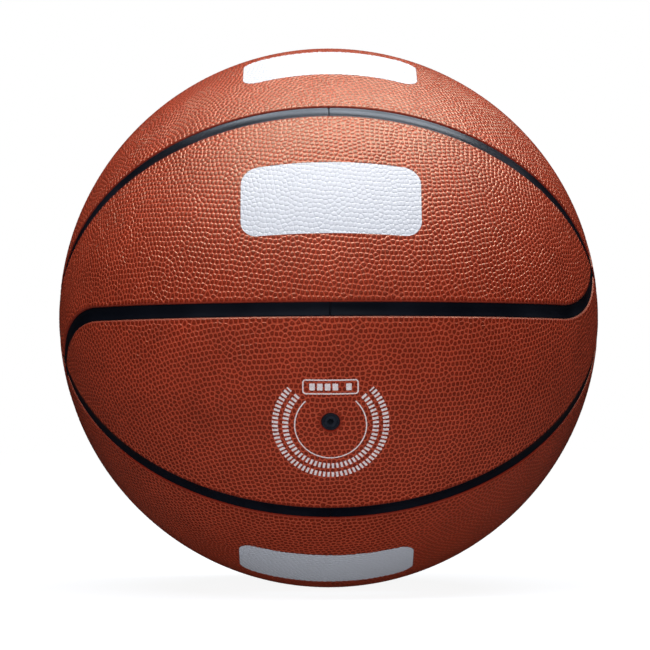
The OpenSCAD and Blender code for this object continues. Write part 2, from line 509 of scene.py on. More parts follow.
class SurfaceEffects:
    """The shader groups that several materials share, each built once."""

    def __init__(self) -> None:
        """Starts with no group built."""
        self.built: dict[str, Tree] = {}

    def get(self, name: str) -> Tree:
        """Returns a group by name and builds it on first use."""
        if name not in self.built:
            builders = {
                "Pebbled Cover": self.pebbled_cover,
                "Rounded Box": self.rounded_box,
                "Open Ring": self.open_ring,
                "Tick Ring": self.tick_ring,
                "Moulded Skin": self.moulded_skin,
            }
            self.built[name] = builders[name](name)
        return self.built[name]

    @staticmethod
    def pebbled_cover(name: str) -> Tree:
        """Grain of the cover: a light network round dark pebbles, with a paler heart that is a painted
        highlight of the gloss on each pebble's top.
        """
        spans = ("Line From", "Line To", "Heart From", "Heart To")
        takes = floats("Pebble", "Tone", "Rim", "Ragged", *spans, "Rim Line")
        gives = floats("Network", "Heart", "Mottle", "Relief", "Dull")
        s = GroupSheet(name, [("Place", "Vector"), *takes], gives)
        at, pebble, rim = s.at, s.at["Pebble"], s.at["Rim"]
        fine = s.noise(at["Place"], 2600.0, 2.0)
        broad = s.noise(at["Place"], 55.0, 3.0)
        crease = s.noise(at["Place"], 1500.0, 4.0, 0.65)
        ragged = (fine - 0.5) * at["Ragged"] + pebble
        line = 1.0 - s.smooth(ragged, at["Line From"], at["Line To"])
        # The rolled edge takes little of the light line colour and shows the dark pebble colour: painted
        # shade where the panel drops into the channel.
        s.give("Network", (at["Rim Line"] - line) * rim + line)
        # The heart is a painted highlight: paler colour where the gloss falls on a pebble's top.
        s.give("Heart", s.smooth(ragged, at["Heart From"], at["Heart To"]))
        s.give("Mottle", (at["Tone"] - 0.5) * 0.5 + broad)
        s.give("Relief", crease * 0.35 + fine * 0.25)
        s.give("Dull", (crease - 0.5) * 0.25 + pebble * 0.08 + rim * 0.30)
        return s.tree

    @staticmethod
    def rounded_box(name: str) -> Tree:
        """A printed box with round corners, filled and as a line."""
        takes = floats("Across", "Along", "Half Width", "Half Height", "Corner", "Line", "Soft")
        s = GroupSheet(name, takes, floats("Fill", "Outline"))
        at, corner = s.at, s.at["Corner"]
        x = abs(at["Across"]) - (at["Half Width"] - corner)
        y = abs(at["Along"]) - (at["Half Height"] - corner)
        gap = s.length(x.most(0.0), y.most(0.0)) + x.most(y).least(0.0) - corner
        s.give("Fill", s.inside(gap, at["Soft"]))
        s.give("Outline", s.inside(abs(gap) - at["Line"] * 0.5, at["Soft"]))
        return s.tree

    @staticmethod
    def open_band(s: GroupSheet) -> tuple[Value, Value, Value]:
        """Reach and turn from the middle, and the gap to a band that is open at the top."""
        at = s.at
        reach, turn = s.length(at["Across"], at["Along"]), s.math("ARCTAN2", at["Across"], at["Along"])
        edge = abs(reach - at["Radius"]) - at["Line"] * 0.5
        return reach, turn, edge.most((at["Opening"] - abs(turn)) * reach)

    def open_ring(self, name: str) -> Tree:
        """A printed ring line that is open at the top."""
        takes = floats("Across", "Along", "Radius", "Line", "Opening", "Soft")
        s = GroupSheet(name, takes, floats("Mask"))
        s.give("Mask", s.inside(self.open_band(s)[2], s.at["Soft"]))
        return s.tree

    def tick_ring(self, name: str) -> Tree:
        """A ring of plain printed ticks, like a dial's, open at the top."""
        takes = floats("Across", "Along", "Radius", "Line", "Opening", "Ticks", "Width", "Soft")
        s = GroupSheet(name, takes, floats("Mask"))
        reach, turn, band = self.open_band(s)
        phase = s.math("FRACT", turn * s.at["Ticks"] / TURN) - 0.5
        pitch = reach * TURN / s.at["Ticks"]
        side = abs(phase) * pitch - s.at["Width"] * 0.5
        s.give("Mask", s.inside(band.most(side), s.at["Soft"]))
        return s.tree

    @staticmethod
    def moulded_skin(name: str) -> Tree:
        """Skin of moulded rubber: faint cloudiness, fine pits and dust."""
        takes = [("Place", "Vector"), *floats("Grain", "Cloud")]
        s = GroupSheet(name, takes, floats("Mottle", "Dull", "Relief"))
        cloud = s.noise(s.at["Place"], s.at["Cloud"], 4.0, 0.5)
        grain = s.noise(s.at["Place"], s.at["Grain"], 2.0, 0.5)
        s.give("Mottle", s.smooth(cloud, 0.35, 0.7))
        s.give("Dull", (cloud + grain - 1.0) * 0.3)
        s.give("Relief", grain)
        return s.tree


EFFECTS = SurfaceEffects()


# ---------------------------------------------------------------------------------------------
# Finishes
# ---------------------------------------------------------------------------------------------


@dataclass(frozen=True)
class BoxMark:
    """A bare white box on a panel, by its angles along and across the straight seams."""

    across: float
    along: float
    half_width: float = math.radians(18.25)
    half_height: float = math.radians(7.9)
    corner: float = 7.4 * MM
    halo_line: float = 0.45 * MM


@dataclass(frozen=True)
class ValveMarks:
    """The marks printed round the valve: an open ring, two rings of ticks and a small frame."""

    drop: float = 1.6 * MM
    ring_r: float = 14.9 * MM
    ring_line: float = 0.5 * MM
    ring_open: float = math.radians(44.0)
    tick_r: Pair = (18.8 * MM, 23.1 * MM)
    tick_h: float = 2.5 * MM
    tick_w: float = 1.0 * MM
    ticks: Pair = (64.0, 80.0)
    tick_open: Pair = (math.radians(44.0), math.radians(47.0))
    frame_rise: float = 15.3 * MM
    frame_half: Pair = (11.4 * MM, 2.9 * MM)
    frame_line: float = 0.55 * MM
    frame_corner: float = 1.2 * MM
    bar_half: Pair = (1.15 * MM, 1.45 * MM)
    bar_corner: float = 0.3 * MM
    bar_places: tuple[float, ...] = (-7.6 * MM, -4.4 * MM, -1.2 * MM, 2.0 * MM, 7.6 * MM)


@dataclass(frozen=True)
class CoverFinish:
    """Pebbled composite leather, with any white print on it.

    Attributes:
        network: Colour of the lines between the pebbles.
        spot: Colour of a pebble's shoulder.
        heart: Colour of a pebble's middle, a painted highlight of the gloss on its top.
        print_white: Colour of the print in a box.
        print_line: Colour of that print between the pebbles, in the share print_share.
        print_pink: Colour of the thin print round the valve.
        halo: Colour of the dark line round a box, in the share halo_share.
        ragged: How uneven the lines' edges are.
        line: The heights on a pebble between which the line fades.
        middle: The heights on a pebble between which its painted highlight grows.
        rim_line: How much line the rolled edge has; kept low, so the edge takes the dark pebble colour as
            painted shade where the panel drops into the channel.
        shades: The darkest and the lightest shade of the mottling.
        roughness: Roughness of the bare cover.
        print_dull: Added roughness of a printed box.
        shine: Level of the gloss.
        ior: Index of refraction of its skin.
        sheen: Tint of the gloss.
        relief: Height that the bump adds to a pebble.
        crease: Strength and height of the bump of the fine creases.
        soft: Half width over which the print's edge fades.
    """

    network: Colour = (0.46, 0.062, 0.027)
    spot: Colour = (0.18, 0.005, 0.001)
    heart: Colour = (0.26, 0.038, 0.006)
    print_white: Colour = (0.60, 0.63, 0.71)
    print_line: Colour = (0.65, 0.69, 0.79)
    print_share: float = 0.35
    print_pink: Colour = (0.82, 0.74, 0.75)
    halo: Colour = (0.10, 0.012, 0.006)
    halo_share: float = 0.75
    ragged: float = 0.16
    line: Pair = (0.50, 0.81)
    middle: Pair = (0.86, 0.98)
    rim_line: float = 0.12
    shades: Pair = (0.80, 1.2)
    roughness: float = 0.35
    print_dull: float = 0.30
    shine: float = 0.58
    ior: float = 1.9
    sheen: Colour = (1.0, 0.86, 0.60)
    relief: float = 0.13 * MM
    crease: Pair = (0.35, 0.12 * MM)
    soft: float = 0.09 * MM

    def material(self, name: str, box: BoxMark | None, marks: ValveMarks | None) -> Material:
        """Builds the cover's material.

        Args:
            name: The material's name.
            box: A white box to print, or None.
            marks: The valve's marks to print, or None.

        Returns:
            The material.
        """
        s = MaterialSheet(name)
        place = s.place()
        stored = ("pebble", "tone", "rim")
        kept = {n.title(): s.read("Fac", "ShaderNodeAttribute", attribute_name=n) for n in stored}
        spans = {"Line From": self.line[0], "Line To": self.line[1]}
        spans |= {"Heart From": self.middle[0], "Heart To": self.middle[1]}
        own = {"Place": place, "Ragged": self.ragged, "Rim Line": self.rim_line}
        grain = s.group(EFFECTS.get("Pebbled Cover"), own | kept | spans)
        # A pebble's paler heart is a painted highlight; the light network and the dark spot are the
        # cover's own two tones.
        colour = s.mix(grain["Network"], s.mix(grain["Heart"], self.spot, self.heart), self.network)
        colour = s.vector("SCALE", colour, s.between(grain["Mottle"], *self.shades))
        rough = grain["Dull"] + self.roughness
        if box:
            fill, halo = self.box_masks(s, place, box)
            white = s.mix(grain["Network"] * self.print_share, self.print_white, self.print_line)
            colour = s.mix(fill, s.mix(halo * self.halo_share, colour, self.halo), white)
            rough = fill * self.print_dull + rough
        if marks:
            colour = s.mix(self.valve_mask(s, place, marks), colour, self.print_pink)
        domed = s.bump(1.0, self.relief, s.smooth(kept["Pebble"], 0.0, 0.8))
        creased = s.bump(*self.crease, grain["Relief"], domed)
        gloss = {"IOR": self.ior, "Specular IOR Level": self.shine, "Specular Tint": self.sheen}
        return s.shade({"Base Color": colour, "Roughness": rough, "Normal": creased} | gloss)

    def box_masks(self, s: NodeSheet, place: Value, box: BoxMark) -> tuple[Value, Value]:
        """Returns the masks of a white box and of the dark line round it."""
        x, y, z = s.parts(s.vector("NORMALIZE", place))
        across = s.math("ARCSINE", x) - box.across
        along = s.math("ARCTAN2", z, y * -1.0) - box.along
        half = {"Half Width": box.half_width * SEAMS.ball_r, "Half Height": box.half_height * SEAMS.ball_r}
        where = {"Across": across * SEAMS.ball_r, "Along": along * SEAMS.ball_r, "Soft": self.soft}
        edge = {"Corner": box.corner, "Line": box.halo_line}
        masks = s.group(EFFECTS.get("Rounded Box"), where | half | edge)
        return masks["Fill"], masks["Outline"]

    def valve_mask(self, s: NodeSheet, place: Value, marks: ValveMarks) -> Value:
        """Returns one mask of all the marks round the valve."""
        x, y, _ = s.parts(place)
        rise = s.vector("DOT_PRODUCT", place, (0.0, -math.sin(VALVE_TILT), math.cos(VALVE_TILT)))
        about = {"Across": x, "Along": rise + marks.drop, "Soft": self.soft}
        ring = {"Radius": marks.ring_r, "Line": marks.ring_line, "Opening": marks.ring_open}
        mask = s.group(EFFECTS.get("Open Ring"), about | ring)["Mask"]
        for radius, count, opening in zip(marks.tick_r, marks.ticks, marks.tick_open, strict=True):
            ring = {"Radius": radius, "Line": marks.tick_h, "Opening": opening}
            ticks = {"Ticks": count, "Width": marks.tick_w}
            mask = mask.most(s.group(EFFECTS.get("Tick Ring"), about | ring | ticks)["Mask"])
        shapes = [(0.0, marks.frame_half, marks.frame_corner, marks.frame_line, "Outline")]
        shapes += [(bar, marks.bar_half, marks.bar_corner, 0.0, "Fill") for bar in marks.bar_places]
        over = rise - marks.frame_rise
        for middle, (wide, high), corner, line, output in shapes:
            where = {"Across": x - middle, "Along": over, "Soft": self.soft}
            form = {"Half Width": wide, "Half Height": high, "Corner": corner, "Line": line}
            mask = mask.most(s.group(EFFECTS.get("Rounded Box"), where | form)[output])
        return mask * s.math("LESS_THAN", y, 0.0)


@dataclass(frozen=True)
class RubberFinish:
    """Moulded rubber.

    Attributes:
        colour: Its deep colour.
        bloom: The paler colour of its clouds.
        roughness: Mean roughness.
        shine: Level of the gloss.
        tint: Tint of the gloss.
        grain: How many pits there are to a metre.
        cloud: How many clouds there are to a metre.
        pits: Strength and depth of the pits' bump.
    """

    colour: Colour
    bloom: Colour
    roughness: float = 0.42
    shine: float = 0.5
    tint: Colour = (1.0, 1.0, 1.0)
    grain: float = 2400.0
    cloud: float = 45.0
    pits: Pair = (0.3, 0.05 * MM)

    def material(self, name: str) -> Material:
        """Builds the rubber's material."""
        s = MaterialSheet(name)
        inputs = {"Place": s.place(), "Grain": self.grain, "Cloud": self.cloud}
        skin = s.group(EFFECTS.get("Moulded Skin"), inputs)
        colour = s.mix(skin["Mottle"], self.colour, self.bloom)
        matt = {"Base Color": colour, "Roughness": skin["Dull"] + self.roughness}
        gloss = {"Specular IOR Level": self.shine, "Specular Tint": self.tint}
        return s.shade(matt | gloss | {"Normal": s.bump(*self.pits, skin["Relief"])})


@dataclass(frozen=True)
class SpongeFinish:
    """Sponge rubber with its fine open cells, whose pores are painted dark as the shade inside them."""

    colour: Colour = (0.045, 0.038, 0.033)
    # cell is the pores' colour: painted shade inside the holes.
    cell: Colour = (0.016, 0.013, 0.011)
    cells: float = 900.0
    wall: Pair = (0.15, 0.5)
    roughness: Pair = (0.95, 0.8)
    depth: Pair = (0.6, 0.3 * MM)

    def material(self, name: str) -> Material:
        """Builds the sponge's material."""
        s = MaterialSheet(name)
        holes = s.read("Distance", "ShaderNodeTexVoronoi", {"Vector": s.place(), "Scale": self.cells})
        wall = s.smooth(holes, *self.wall)
        rough = s.between(wall, *self.roughness)
        # The pores get the dark cell colour: painted shade in the holes.
        colour = s.mix(wall, self.cell, self.colour)
        return s.shade({"Base Color": colour, "Roughness": rough, "Normal": s.bump(*self.depth, wall)})


@dataclass(frozen=True)
class ThreadFinish:
    """Nylon thread wound round the bladder in many directions."""

    colour: Colour = (0.78, 0.74, 0.64)
    shadow: Colour = (0.42, 0.38, 0.31)
    pitch: float = 0.6 * MM
    turns: tuple[Colour, ...] = ((1.0, 0.3, 0.1), (-0.4, 1.0, 0.35), (0.2, -0.5, 1.0))
    patches: float = 60.0
    patch_step: float = 0.3
    patch_edge: Pair = (0.45, 0.55)
    round_from: float = 0.4
    roughness: Pair = (0.7, 0.5)
    depth: Pair = (0.8, 0.3 * MM)

    def material(self, name: str) -> Material:
        """Builds the thread's material."""
        s = MaterialSheet(name)
        place = s.place()
        strands = [self.strand(s, place, number, turn) for number, turn in enumerate(self.turns)]
        strand = strands[0]
        for other in strands[1:]:
            strand = strand.most(other)
        rough = s.between(strand, *self.roughness)
        colour = s.mix(strand, self.shadow, self.colour)
        return s.shade({"Base Color": colour, "Roughness": rough, "Normal": s.bump(*self.depth, strand)})

    def strand(self, s: NodeSheet, place: Value, number: int, turn: Colour) -> Value:
        """Returns how high the strands of one direction lie, in patches of their own."""
        along = s.vector("DOT_PRODUCT", place, tuple(unit(np.array(turn))))
        wave = s.math("SINE", along * (TURN / self.pitch))
        own = s.noise(s.vector("ADD", place, (self.patch_step * number, 0.0, 0.0)), self.patches)
        return s.between(wave, self.round_from, 1.0) * s.smooth(own, *self.patch_edge)


# ---------------------------------------------------------------------------------------------
# Cover panels
# ---------------------------------------------------------------------------------------------


@dataclass
class Cells:
    """The cells round a panel's pebbles.

    Attributes:
        corners: Places of the cells' corners, as unit vectors.
        owner: For each side of each cell, the pebble's number.
        start: The side's first corner.
        end: The side's last corner.
    """

    corners: Array
    owner: Array
    start: Array
    end: Array


@dataclass
class PebbleField:
    """The pebbled part of a panel, laid out on the upper front panel's field.

    Each pebble fills one cell. Seeds mirrored in the field's edges make the outer cells end there.

    Attributes:
        seed: Seed of the random numbers.
        spacing: Mean distance between pebbles.
        jog: How far a seed is moved by chance, in spacings.
        rounds: How often the seeds are evened out.
        edge: Width of the plain edge between the pebbles and the panel's side.
        hole_r: Radius of the valve's hole, or 0.
        hole_axis: Direction of that hole on the upper front panel.
        middle: Direction round which the field is mapped flat.
        least_side: Length below which a cell's side shrinks to a corner.
        clear: Least distance of a seed from the field's edge, in spacings.
        reach: Distance from a seam within which seeds are mirrored, in spacings.
        hole_reach: The same for the valve's hole.
    """

    seed: int
    spacing: float = 2.22 * MM
    jog: float = 0.22
    rounds: int = 6
    edge: float = 0.3 * MM
    hole_r: float = 0.0
    hole_axis: Triple = (0.0, -math.cos(VALVE_TILT), math.sin(VALVE_TILT))
    middle: Triple = (-0.1, -0.92, 0.38)
    least_side: float = 0.28 * MM
    clear: float = 0.25
    reach: float = 2.6
    hole_reach: float = 1.2

    def __post_init__(self) -> None:
        """Prepares the map and the random numbers."""
        self.random = np.random.default_rng(self.seed)
        self.map = FlatMap(unit(np.array(self.middle)))

    def edges(self, points: Array) -> list[Gap]:
        """Gap of each point to each edge of the pebbled field: three seams, then any hole."""
        inset = SEAMS.channel_half + self.edge
        seams = (SEAMS.upper_seam(points), SEAMS.lower_seam(points), SEAMS.wandering_seam(points))
        found = [(gap - inset, toward) for gap, toward in seams]
        if self.hole_r:
            gap, toward = SEAMS.inside_circle(points, np.array(self.hole_axis), self.hole_r / SEAMS.ball_r)
            found.append((-gap - self.edge, -toward))
        return found

    def least_gap(self, points: Array) -> Array:
        """Gap of each point to the nearest edge of the pebbled field."""
        return np.min([gap for gap, _ in self.edges(points)], axis=0)

    def scatter(self) -> Array:
        """Lays the pebbles' seeds on a spiral round the whole ball, jogs them and keeps the field's."""
        count = round(4 * math.pi * SEAMS.ball_r**2 / (self.spacing**2 * math.sqrt(0.75)))
        seeds = spiral(count) @ random_turn(self.random)
        jog = self.random.normal(size=seeds.shape) * self.jog * self.spacing / SEAMS.ball_r
        seeds = unit(seeds + jog)
        return seeds[self.least_gap(seeds) > self.clear * self.spacing]

    def mirrored(self, seeds: Array) -> Array:
        """Seeds mirrored in the field's edges, and in two seams near a corner."""
        near = self.reach * self.spacing
        gaps = self.edges(seeds)
        made = []
        for i, (gap, toward) in enumerate(gaps):
            close = gap < (self.hole_reach * self.spacing if i == SEAM_COUNT else near)
            made.append(step(seeds[close], toward[close], -2 * gap[close] / SEAMS.ball_r))
            for j in range(i + 1, SEAM_COUNT):
                both = close & (gaps[j][0] < near)
                once = step(seeds[both], toward[both], -2 * gap[both] / SEAMS.ball_r)
                again, onward = self.edges(once)[j]
                made.append(step(once, onward, -2 * again / SEAMS.ball_r))
        return np.vstack(made)

    def cells(self, seeds: Array) -> Cells:
        """Finds the cell round each seed."""
        points = np.vstack([seeds, self.mirrored(seeds)])
        faces = self.map.triangles(points)
        faces = faces[(faces < len(seeds)).any(1)]
        a, b, c = (points[faces[:, i]] for i in range(3))
        corners = unit(np.cross(b - a, c - a))
        flat, base = self.map.flat(corners), self.map.flat(seeds)
        owner = faces.ravel()
        corner = np.repeat(np.arange(len(faces)), 3)
        real = owner < len(seeds)
        owner, corner = owner[real], corner[real]
        arm = flat[corner] - base[owner]
        order = np.lexsort((np.arctan2(arm[:, 1], arm[:, 0]), owner))
        return self.closed(corners, owner[order], corner[order])

    @staticmethod
    def closed(corners: Array, owner: Array, start: Array) -> Cells:
        """Joins each cell's sorted corners into a closed outline."""
        return Cells(corners, owner, start, start[next_side(owner)])

    def relaxed(self) -> tuple[Array, Cells]:
        """Evens the seeds out and returns them with their cells."""
        seeds = self.scatter()
        for _ in range(self.rounds):
            cells = self.cells(seeds)
            p, v, w = seeds[cells.owner], cells.corners[cells.start], cells.corners[cells.end]
            area = np.linalg.norm(np.cross(v - p, w - p), axis=1)
            middle = (p + v + w) * area[:, None]
            moved = [np.bincount(cells.owner, middle[:, k], len(seeds)) for k in range(3)]
            seeds = unit(np.column_stack(moved))
        return seeds, self.merged(self.cells(seeds))

    def merged(self, cells: Cells) -> Cells:
        """Merges corners that lie too close together."""
        label = np.arange(len(cells.corners))
        side = np.linalg.norm(cells.corners[cells.start] - cells.corners[cells.end], axis=1)
        for i in np.flatnonzero(side * SEAMS.ball_r < self.least_side):
            a, b = label[cells.start[i]], label[cells.end[i]]
            if a != b:
                label[label == max(a, b)] = min(a, b)
        _, label = np.unique(label, return_inverse=True)
        total = [np.bincount(label, cells.corners[:, k]) for k in range(3)]
        corners = unit(np.column_stack(total))
        start, end = label[cells.start], label[cells.end]
        kept = start != end
        return self.closed(corners, cells.owner[kept], start[kept])


def next_side(owner: Array) -> Array:
    """Number of the next side of the same cell, for each side."""
    first = np.r_[True, owner[1:] != owner[:-1]]
    last = np.r_[first[1:], True]
    following = np.arange(1, len(owner) + 1)
    following[last] = np.flatnonzero(first)
    return following


@dataclass(frozen=True)
class EdgeRoll:
    """How a panel rolls down to the channel.

    Attributes:
        roll_r: Radius of the rolled edge.
        insets: Distances from the panel's side of the rows beyond the pebbles.
        groove_r: Height of the grooves between the pebbles above the ball's centre.
        floor_r: Height of the panel's underside.
    """

    roll_r: float = 0.5 * MM
    insets: tuple[float, ...] = (0.10 * MM, 0.02 * MM, 0.0)
    groove_r: float = 120.03 * MM
    floor_r: float = 118.95 * MM

    def height(self, inset: Array) -> Array:
        """Height of the surface at a distance from the panel's side."""
        short = (self.roll_r - np.asarray(inset)).clip(0, self.roll_r)
        return self.groove_r - self.roll_r + np.sqrt(self.roll_r**2 - short**2)


@dataclass
class Shell:
    """A panel's mesh as it grows, laid out as the upper front panel.

    Attributes:
        points: Blocks of vertices.
        flat: Their places on the bake's map.
        faces: Blocks of triangles.
        count: How many vertices there are.
    """

    points: list[Array] = field(default_factory=list)
    flat: list[Array] = field(default_factory=list)
    faces: list[Array] = field(default_factory=list)
    count: int = 0

    def add(self, points: Array, flat: Array) -> Array:
        """Adds vertices and returns their numbers."""
        self.points.append(points)
        self.flat.append(flat)
        self.count += len(points)
        return np.arange(self.count - len(points), self.count)


@dataclass
class Rim:
    """The edge of a panel's pebbled field.

    Attributes:
        numbers: Its points' vertex numbers.
        points: The points as unit vectors.
        outward: For each point, the vector that leads out of the field.
        edges: Pairs of places in these lists that are joined.
    """

    numbers: list[int]
    points: list[Array]
    outward: list[Array]
    edges: list[tuple[int, int]] = field(default_factory=list)


@dataclass
class CoverPanel:
    """One of the eight cover panels, pebble by pebble.

    Attributes:
        node: The solid that it replaces.
        quarter: Its quarter of the ball.
        lower: True for the second panel of a quarter.
        seed: Seed of its random numbers.
        box: Its white box, or None.
        marks: The marks round the valve, or None.
        hole_r: Radius of the valve's hole, or 0.
        pebble_h: Mean height of a pebble.
        shoulder: How far out a pebble's shoulder lies, as a share of the way to a corner.
        flank: The same as a share of the way to a side's middle.
        shoulder_h: Height of the shoulder, as a share of the pebble's.
        print_calm: How much lower the pebbles are under thick print.
        rim_step: Longest step along the rim.
        hole_step: Longest step round the valve's hole.
        corner_reach: Distance within which a point near two seams is moved onto both, in spacings.
        under_points: Number of the coarse underside's points on a whole ball.
        under_inset: Least distance of these points from the field's edge.
        under_slack: How far inside the panel's side the middle of an underside's triangle lies at least.
        height_spread: How much the pebbles' heights differ, as a share.
        dome: Power by which a pebble rises to its middle.
        roll: The panel's rolled edge.
    """

    node: str
    quarter: Quarter
    lower: bool
    seed: int
    box: BoxMark | None = None
    marks: ValveMarks | None = None
    hole_r: float = 0.0
    pebble_h: float = 0.21 * MM
    shoulder: float = 0.60
    flank: float = 0.69
    shoulder_h: float = 0.76
    print_calm: float = 0.45
    rim_step: float = 1.3 * MM
    hole_step: float = 0.5 * MM
    corner_reach: float = 0.16
    under_points: int = 2600
    under_inset: float = 2.0 * MM
    under_slack: float = 0.002 * MM
    height_spread: float = 0.16
    dome: float = 1.0
    roll: EdgeRoll = field(default_factory=EdgeRoll)

    @property
    def name(self) -> str:
        """Name of the panel's piece."""
        return self.node.replace("panel_", "cover_")

    def matrix(self) -> Array:
        """The matrix that takes the upper front panel to this one's place."""
        opposite = np.diag([-1.0, 1.0, -1.0]) if self.lower else np.eye(3)
        return self.quarter.matrix @ opposite

    def chart(self, points: Array) -> Array:
        """Lays points of the panel out flat in metres, for the bake's map."""
        lean = np.arctan2(points[:, 2], -points[:, 1]) - math.radians(22.5)
        turn = np.arcsin(points[:, 0].clip(-1, 1))
        across, along = turn, lean * np.cos(turn)
        return SEAMS.ball_r * np.column_stack([across - along, across + along]) * math.sqrt(0.5)

    def build(self, pebbles: Tree, finish: CoverFinish) -> None:
        """Builds the panel and puts it in place of its solid.

        Args:
            pebbles: The geometry tree that raises the pebbles.
            finish: The cover's finish.
        """
        plan = PebbleField(self.seed, hole_r=self.hole_r)
        seeds, cells = plan.relaxed()
        panel = as_object(self.lay_out(plan, seeds, cells))
        material = finish.material(self.name.replace("_", " ").title(), self.box, self.marks)
        values = {"Pebble Height": self.pebble_h, "Height Spread": self.height_spread, "Dome": self.dome}
        raise_pebbles(panel, pebbles, values | {"Seed": self.seed, "Material": material})
        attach(panel, BODY)
        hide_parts(self.node)
        log.info("%s: %d pebbles, %d triangles", self.name, len(seeds), len(panel.data.polygons))

    def lay_out(self, plan: PebbleField, seeds: Array, cells: Cells) -> Mesh:
        """Makes the panel's closed mesh, with its pebbles still flat.

        Args:
            plan: The pebbled field.
            seeds: Middles of the pebbles.
            cells: The cells round them.

        Returns:
            The mesh, in the panel's place, with the attributes pebble, cell, rim and calm.
        """
        start, end, owner = cells.start, cells.end, cells.owner
        sides, corners = len(owner), cells.corners.copy()
        outer = ~np.isin(start * len(corners) + end, end * len(corners) + start)
        at_rim = np.unique(np.r_[start[outer], end[outer]])
        corners[at_rim], outward = self.snapped(plan, corners[at_rim])
        middle, halfway = seeds[owner], (corners[start] + corners[end]) / 2
        shoulder = middle + self.shoulder * (corners[start] - middle)
        flank = middle + self.flank * (halfway - middle)
        top = unit(np.vstack([corners, shoulder, flank, seeds]))

        shell = Shell()
        shell.add(top * self.roll.height(plan.least_gap(top) + plan.edge)[:, None], self.chart(top))
        before = len(corners) + np.arange(sides)
        after, below, heart = before[next_side(owner)], before + sides, len(corners) + 2 * sides + owner
        shell.faces += [
            np.column_stack([start, below, before]),
            np.column_stack([end, after, below]),
            np.column_stack([start, end, below])[~outer],
            np.column_stack([before, below, heart]),
            np.column_stack([below, after, heart]),
        ]
        rim = Rim(at_rim.tolist(), list(corners[at_rim]), list(outward))
        self.join_rim(plan, shell, rim, corners, np.column_stack([start, end, below])[outer])
        on_top = shell.count
        hidden = self.close(plan, shell, rim)

        rimmed = np.ones(shell.count)
        rimmed[:on_top] = 0.0
        rimmed[rim.numbers] = 1.0
        heights = np.r_[np.zeros(len(corners)), np.full(2 * sides, self.shoulder_h), np.ones(len(seeds))]
        numbers = np.r_[np.zeros(len(corners), int), owner, owner, np.arange(len(seeds))]
        loops, matrix = np.vstack(shell.faces), self.matrix()
        if np.linalg.det(matrix) < 0:
            loops = loops[:, ::-1]
        mesh = plain_mesh(self.name, np.vstack(shell.points) @ matrix.T, loops)
        self.store(mesh, "pebble", "FLOAT", heights)
        self.store(mesh, "cell", "INT", numbers)
        self.store(mesh, "rim", "FLOAT", rimmed)
        self.store(mesh, "calm", "FLOAT", self.under_print(top))
        self.lay_map(mesh, np.vstack(shell.flat), loops, hidden)
        return mesh

    def join_rim(self, plan: PebbleField, shell: Shell, rim: Rim, corners: Array, sides: Array) -> None:
        """Joins the outer cells to the rim, with long sides cut into steps.

        Args:
            plan: The pebbled field.
            shell: The panel's mesh, which gets the new points and triangles.
            rim: The rim, which gets the new points and all its edges.
            corners: The cells' corners.
            sides: For each outer side, its two corners and its point on the flank.
        """
        place = {number: i for i, number in enumerate(rim.numbers)}
        known, fans = len(rim.points), []
        for a, b, flank in sides.tolist():
            length = np.linalg.norm(corners[a] - corners[b]) * SEAMS.ball_r
            longest = self.hole_step if self.near_hole(plan, corners[a]) else self.rim_step
            cuts = math.ceil(length / longest) - 1
            new = [shell.count + len(rim.points) - known + i for i in range(cuts)]
            if new:
                share = np.linspace(0, 1, cuts + 2)[1:-1, None]
                points, outward = self.snapped(plan, unit(corners[a] * (1 - share) + corners[b] * share))
                place |= {number: len(rim.points) + i for i, number in enumerate(new)}
                rim.numbers.extend(new)
                rim.points.extend(points)
                rim.outward.extend(outward)
            chain = [a, *new, b]
            for p, q in zip(chain[:-1], chain[1:], strict=True):
                fans.append((p, q, flank))
                rim.edges.append((place[p], place[q]))
        shell.faces.append(np.array(fans))
        if len(rim.points) > known:
            extra = np.array(rim.points[known:])
            shell.add(extra * self.roll.height(plan.edge), self.chart(extra))

    def close(self, plan: PebbleField, shell: Shell, rim: Rim) -> Array:
        """Rolls the panel's edge down from the rim and closes the mesh below.

        Args:
            plan: The pebbled field.
            shell: The panel's mesh, which gets the new points and triangles.
            rim: The rim.

        Returns:
            For each triangle of the closed mesh, whether it is on the underside.
        """
        base, outward, edge = np.array(rim.points), np.array(rim.outward), np.array(rim.edges)
        p, q = edge.T
        above, run = np.array(rim.numbers), 0.0
        rows = [(inset, float(self.roll.height(inset))) for inset in (plan.edge, *self.roll.insets)]
        rows.append((0.0, self.roll.floor_r))
        for last, (inset, height) in zip(rows[:-1], rows[1:], strict=True):
            run += math.hypot(inset - last[0], height - last[1])
            row = unit(base + outward * (plan.edge - inset) / SEAMS.ball_r)
            below = shell.add(row * height, self.chart(unit(base + outward * run / SEAMS.ball_r)))
            shell.faces.append(np.column_stack([above[p], below[p], below[q]]))
            shell.faces.append(np.column_stack([above[p], below[q], above[q]]))
            above = below
        under, faces = self.underside(plan, row, edge)
        numbers = np.r_[above, shell.add(under * self.roll.floor_r, self.chart(under))]
        seen = sum(map(len, shell.faces))
        shell.faces.append(numbers[faces][:, ::-1])
        return np.arange(seen + len(faces)) >= seen

    def under_print(self, points: Array) -> Array:
        """How much the thick white print fills the grooves at points of the upper front panel."""
        if not self.box:
            return np.zeros(len(points))
        x, y, z = (points @ self.matrix().T).T
        across = np.abs(np.arcsin(x.clip(-1, 1)) - self.box.across) < self.box.half_width
        along = np.abs(np.arctan2(z, -y) - self.box.along) < self.box.half_height
        return self.print_calm * (across & along)

    def near_hole(self, plan: PebbleField, point: Array) -> bool:
        """True for a point on the rim of the valve's hole."""
        return bool(plan.hole_r) and abs(plan.edges(point[None])[SEAM_COUNT][0][0]) < self.hole_step

